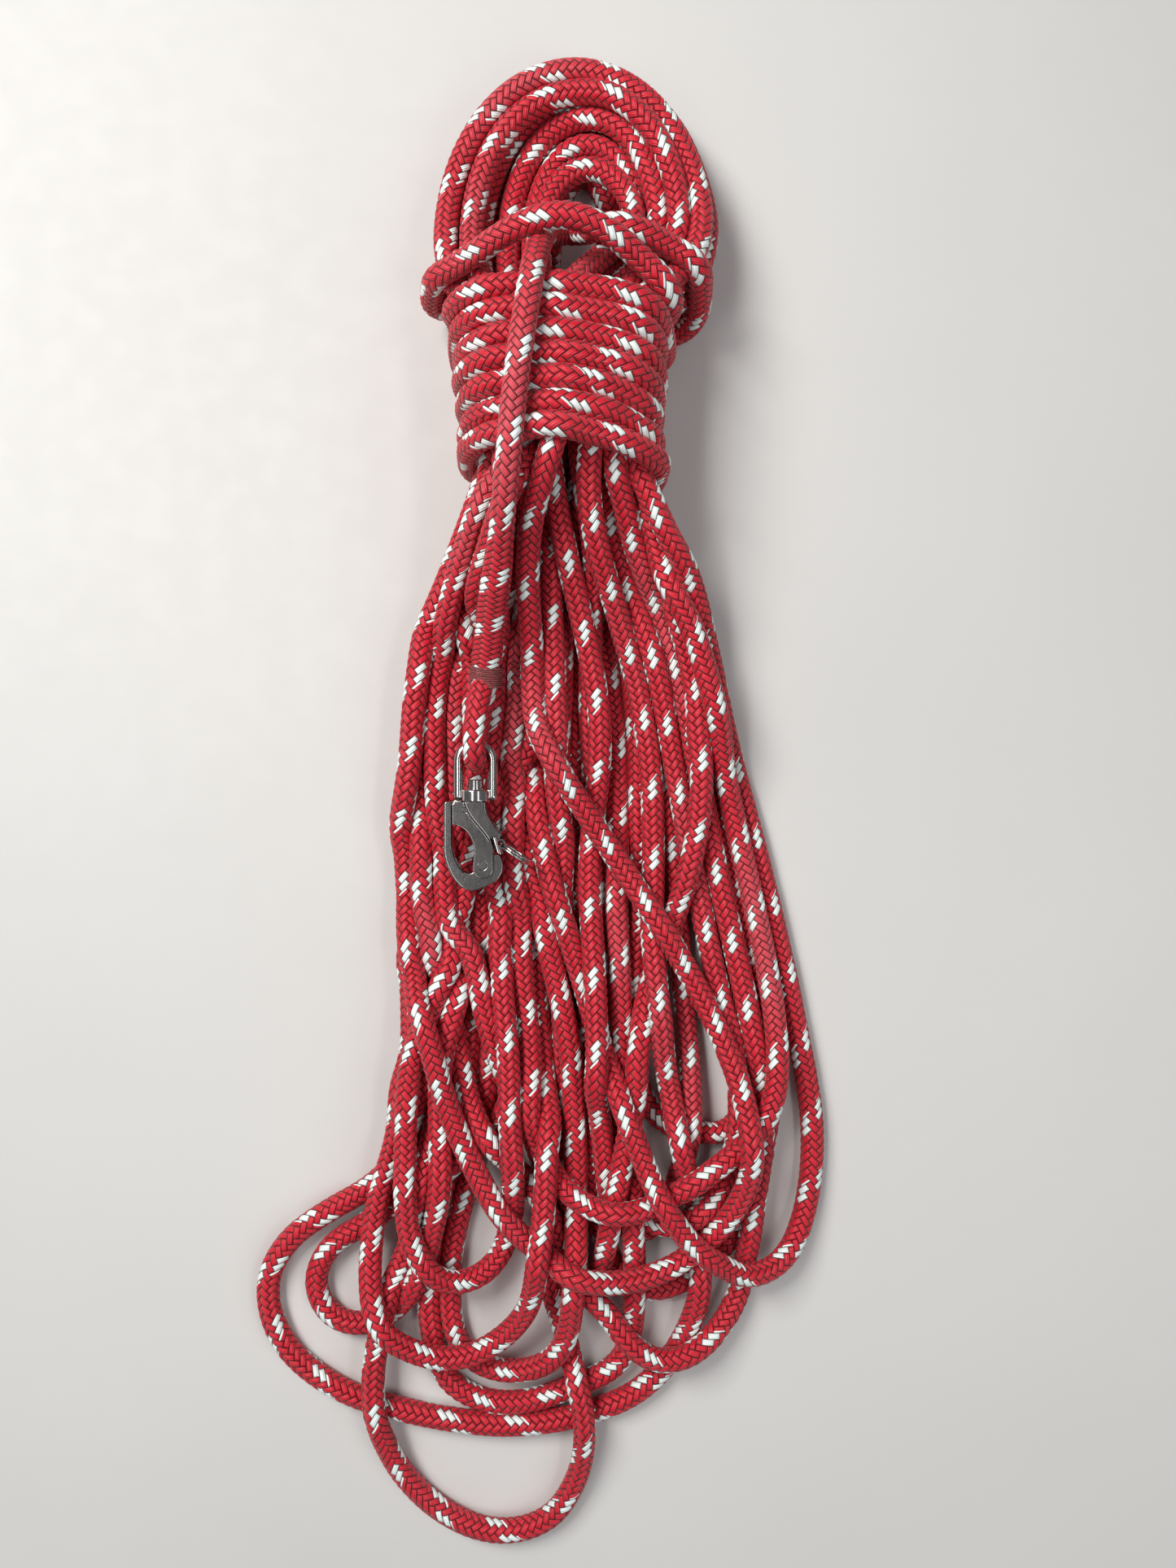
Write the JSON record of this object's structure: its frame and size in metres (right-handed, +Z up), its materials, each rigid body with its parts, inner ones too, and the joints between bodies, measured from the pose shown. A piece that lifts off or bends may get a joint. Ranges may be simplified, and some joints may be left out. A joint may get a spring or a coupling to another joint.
{
  "type": "coiled rope with snap shackle",
  "caption": "Gasket-coiled hank of double-braid line with a swivel snap shackle spliced to its end.",
  "frame": {"origin": "under the middle of the hank's box, on the surface it lies on", "axes": "+Y along the hank towards its head, +Z up, +X to the right seen from above with the head away"},
  "size_m": [0.3017, 0.7658, 0.1093],
  "materials": {
    "rope_cover": "red polyester braid with white flecks",
    "rope_core": "white polyester braid",
    "whipping_twine": "waxed twine, dull",
    "polished_steel": "polished stainless steel with handling scratches",
    "steel_wire": "bright stainless wire"
  },
  "bodies": {
    "root": {"hank_wraps": "rope_cover", "hank_head": "rope_cover", "skirt_upper": "rope_cover", "skirt_lower": "rope_cover", "hank_fan": "rope_cover", "loop_bottom": "rope_cover", "loop_left": "rope_cover", "loop_left_small": "rope_cover", "loop_right": "rope_cover", "locking_turn": "rope_cover", "locking_turn_inner": "rope_cover", "tail_cover": "rope_cover", "throat_cover": "rope_cover", "rope_eye": "rope_cover", "tail_core": "rope_core", "throat_core": "rope_core", "eye_whipping": "whipping_twine"},
    "bail": {"swivel_bail": "polished_steel"},
    "shackle_body": {"shackle_body": "polished_steel", "swivel_post": "polished_steel", "swivel_washer": "steel_wire", "nose_pin": "steel_wire", "jaw_rivet": "steel_wire"},
    "jaw": {"shackle_jaw": "polished_steel"},
    "plunger": {"plunger": "polished_steel", "plunger_spring": "steel_wire"},
    "pull_ring": {"pull_ring": "steel_wire"}
  },
  "joints": [
    {"name": "bail_hinge", "type": "hinge", "parent": "root", "child": "bail", "pos_m": [-0.031, 0.04, 0.04], "axis": [-1, 0, 0], "range_deg": [0, 80]},
    {"name": "swivel", "type": "hinge", "parent": "bail", "child": "shackle_body", "pos_m": [-0.031, 0.014, 0.04], "axis": [0, -1, 0], "range_deg": [0, 180]},
    {"name": "jaw_hinge", "type": "hinge", "parent": "shackle_body", "child": "jaw", "pos_m": [-0.0271, -0.0208, 0.04], "axis": [0, 0, 1], "range_deg": [0, 95]},
    {"name": "plunger_slide", "type": "slide", "parent": "shackle_body", "child": "plunger", "axis": [-0.309, 0.9511, 0], "range_m": [0, 0.0015]},
    {"name": "ring_swing", "type": "hinge", "parent": "plunger", "child": "pull_ring", "pos_m": [-0.01825, -0.00996, 0.04], "axis": [0, 0, 1], "range_deg": [-25, 20]}
  ],
  "couplings": [
    {"joint": "plunger_slide", "follows": "jaw_hinge", "m_per_rad": 0.00090467}
  ]
}
